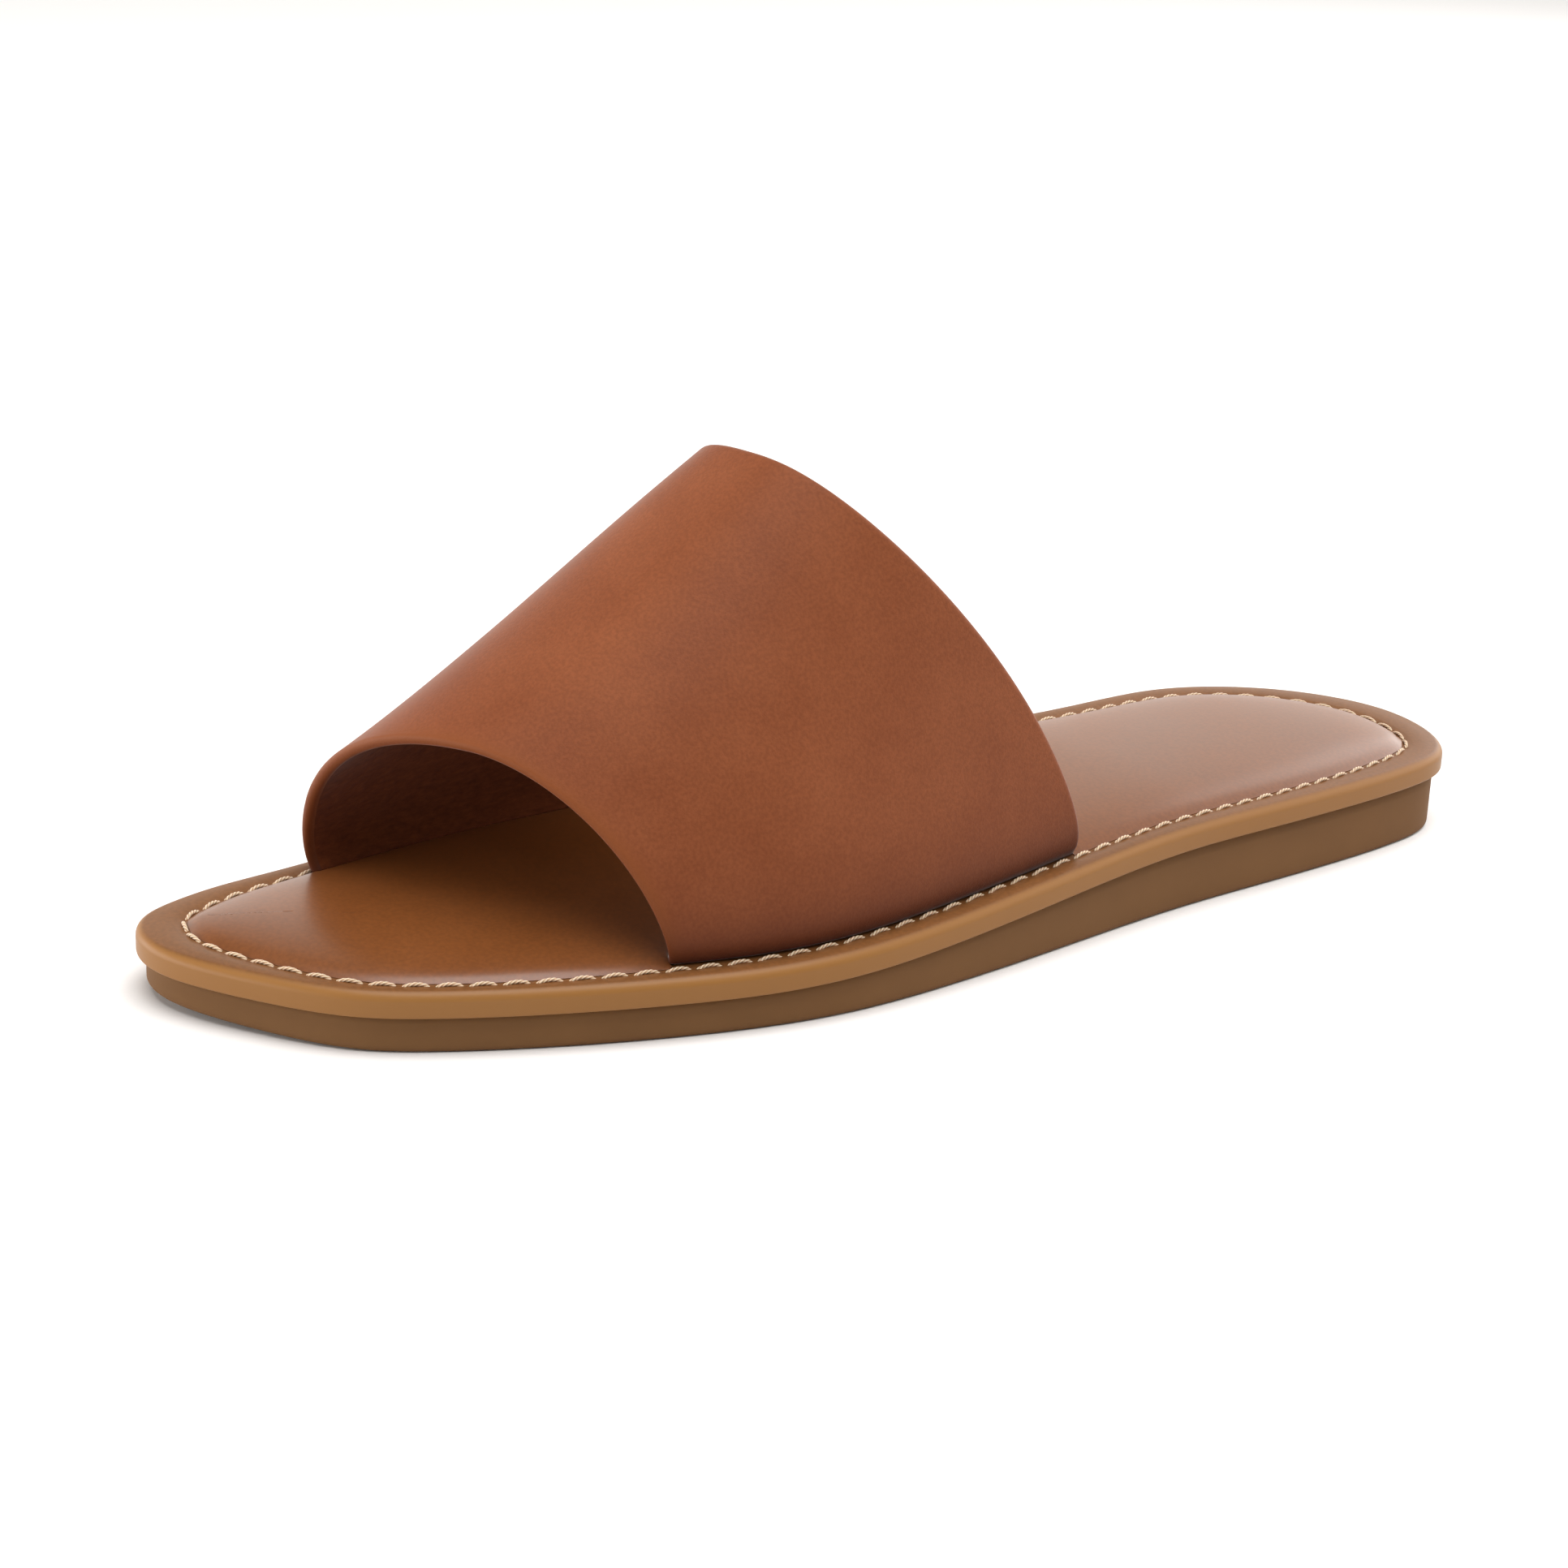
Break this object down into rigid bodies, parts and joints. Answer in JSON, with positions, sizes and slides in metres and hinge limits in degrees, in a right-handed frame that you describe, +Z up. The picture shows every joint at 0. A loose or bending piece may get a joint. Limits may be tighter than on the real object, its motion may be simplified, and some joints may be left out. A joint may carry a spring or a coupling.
{
  "type": "slide sandal",
  "caption": "Leather slide sandal with one wide smooth band over the foot, a padded insole, a stitched wrapped rim and a low rubber sole.",
  "frame": {"origin": "on the floor, under the middle of the shoe's length and width", "axes": "+Z up; -Y towards the toe and +Y towards the heel; +X towards the outer side of the left foot"},
  "size_m": [0.0845, 0.252, 0.0831],
  "materials": {
    "outsole_rubber": "matte moulded brown rubber",
    "rim_leather": "satin tan leather wrapped around the board",
    "insole_leather": "semi-gloss brown leather over soft padding",
    "upper_leather": "satin cognac leather with a dark brushed lining"
  },
  "bodies": {
    "root": {"outsole": "outsole_rubber", "footbed": "rim_leather", "insole": "insole_leather", "upper": "upper_leather"}
  },
  "joints": []
}
